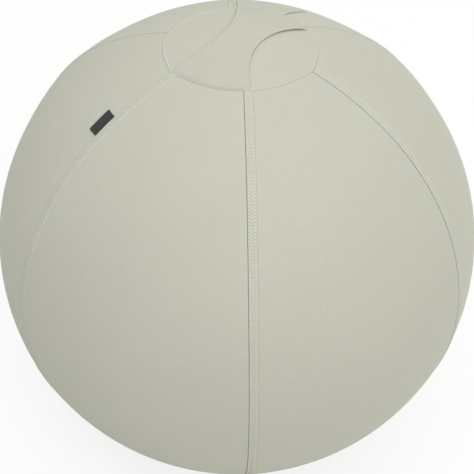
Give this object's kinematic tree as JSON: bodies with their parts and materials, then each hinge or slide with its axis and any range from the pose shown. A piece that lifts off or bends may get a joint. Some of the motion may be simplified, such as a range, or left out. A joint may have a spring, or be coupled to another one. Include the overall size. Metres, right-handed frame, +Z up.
{
  "type": "sitting ball",
  "caption": "Round inflatable ball seat in a sewn cloth cover, with a waisted carry strap on top, a side label tab, a flat weighted base and a zip round the back of the base.",
  "frame": {"origin": "on the floor, under the ball's axis", "axes": "+Z up along the ball's axis, -Y out of the front seam"},
  "size_m": [0.65, 0.6576, 0.6372],
  "materials": {
    "cover_cloth": "matte",
    "seam_tape_cloth": "matte",
    "label_cloth": "matte",
    "base_cloth": "matte",
    "pouch_cloth": "matte",
    "pad_sand": "matte",
    "bladder_pvc": "satin",
    "plug_plastic": "satin",
    "zip_cloth": "matte",
    "zip_plastic": "satin",
    "zip_metal": "satin"
  },
  "bodies": {
    "ball": {"gore_front_right": "cover_cloth", "gore_right": "cover_cloth", "gore_rear_right": "cover_cloth", "gore_rear_left": "cover_cloth", "gore_left": "cover_cloth", "gore_front_left": "cover_cloth", "crown_panel": "cover_cloth", "handle_strap": "cover_cloth", "handle_lining": "cover_cloth", "seam_tape_front": "seam_tape_cloth", "seam_tape_front_right": "seam_tape_cloth", "seam_tape_rear_right": "seam_tape_cloth", "seam_tape_rear": "seam_tape_cloth", "seam_tape_rear_left": "seam_tape_cloth", "seam_tape_front_left": "seam_tape_cloth", "label_tab": "label_cloth", "base_panel": "base_cloth", "pad_pouch_lower": "pouch_cloth", "pad_pouch_upper": "pouch_cloth", "pad_fill": "pad_sand", "bladder": "bladder_pvc", "valve_seat": "bladder_pvc", "valve_plug": "plug_plastic", "zip_tape_upper": "zip_cloth", "zip_tape_lower": "zip_cloth", "zip_guard": "zip_cloth", "zip_teeth_upper": "zip_plastic", "zip_teeth_lower": "zip_plastic", "zip_stop_start": "zip_plastic", "zip_stop_end": "zip_plastic"},
    "slider": {"zip_slider": "zip_metal"},
    "pull": {"zip_pull": "zip_metal"}
  },
  "joints": [
    {"name": "zip_travel", "type": "hinge", "parent": "ball", "child": "slider", "pos_m": [0, 0, 0], "axis": [0, 0, 1], "range_deg": [0, 95]},
    {"name": "pull_swing", "type": "hinge", "parent": "slider", "child": "pull", "pos_m": [0.13862, 0.127, 0.04129], "axis": [0.604, 0.5534, 0.5735], "range_deg": [-85, 85]}
  ]
}
